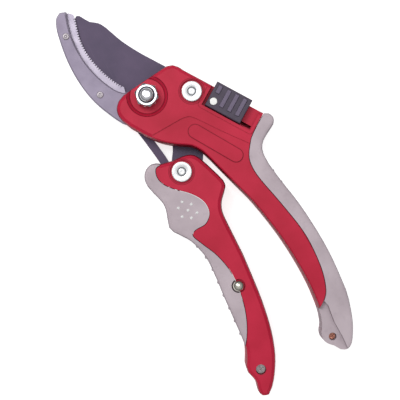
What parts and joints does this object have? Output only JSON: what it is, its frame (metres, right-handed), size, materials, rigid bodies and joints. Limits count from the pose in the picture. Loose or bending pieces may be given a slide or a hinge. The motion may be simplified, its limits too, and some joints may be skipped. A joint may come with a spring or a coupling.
{
  "type": "pruning shears",
  "caption": "Hand-held bypass pruning shears with a toothed hook jaw, link-driven blade, soft-gripped handles and a sliding thumb lock.",
  "frame": {"origin": "middle of the closed tool's box, on the plane of the handles' back faces", "axes": "+Z along the pivots from the back faces to the nut, +Y along the tool from the handle ends to the blade tip, +X towards the handle that carries the thumb lock"},
  "size_m": [0.0716, 0.2062, 0.0245],
  "materials": {
    "red_shell": "semi-gloss moulded red",
    "grey_grip": "soft matte warm grey",
    "satin_aluminium": "satin cast",
    "toothed_steel": "satin",
    "dark_coating": "low-friction dark coating",
    "zinc": "bright zinc plated",
    "black_plastic": "moulded, fine texture",
    "white_plastic": "smooth",
    "bronze": "dull",
    "spring_steel": "drawn wire"
  },
  "bodies": {
    "upper_handle": {"upper_front_shell": "red_shell", "upper_back_shell": "red_shell", "upper_grip": "grey_grip", "hook_jaw": "satin_aluminium", "serrated_insert": "toothed_steel", "insert_rivet_1": "zinc", "insert_rivet_2": "zinc", "frame_plate": "dark_coating", "main_bolt": "zinc", "main_washer": "zinc", "main_nut": "zinc", "pivot_bush": "bronze", "body_rivet": "zinc", "rivet_spacer": "zinc", "upper_end_screw": "bronze", "return_spring": "spring_steel"},
    "blade": {"blade": "dark_coating", "blade_link_pin": "zinc"},
    "lower_handle": {"lower_front_shell": "red_shell", "lower_back_shell": "red_shell", "lower_grip": "grey_grip", "handle_rivet": "zinc", "handle_link_pin": "zinc", "handle_stud": "zinc", "lower_end_screw": "zinc"},
    "pull_link": {"pull_link": "dark_coating"},
    "lock": {"lock_slider": "black_plastic", "lock_dot": "white_plastic", "lock_tongue": "zinc"}
  },
  "joints": [
    {"name": "handle_swing", "type": "hinge", "parent": "upper_handle", "child": "lower_handle", "pos_m": [-0.01465, 0.0087, 0.009], "axis": [0, 0, -1], "range_deg": [0, 32]},
    {"name": "blade_swing", "type": "hinge", "parent": "upper_handle", "child": "blade", "pos_m": [-0.01095, 0.0477, 0.009], "axis": [0, 0, -1], "range_deg": [0, 22]},
    {"name": "link_swing", "type": "hinge", "parent": "lower_handle", "child": "pull_link", "pos_m": [-0.02245, 0.0067, 0.0055], "axis": [0, 0, 1], "range_deg": [0, 33]},
    {"name": "lock_slide", "type": "slide", "parent": "upper_handle", "child": "lock", "axis": [0.5225, -0.8526, 0], "range_m": [0, 0.0045]}
  ],
  "couplings": [
    {"joint": "blade_swing", "follows": "handle_swing", "ratio": 0.685},
    {"joint": "link_swing", "follows": "handle_swing", "ratio": 1.018}
  ]
}
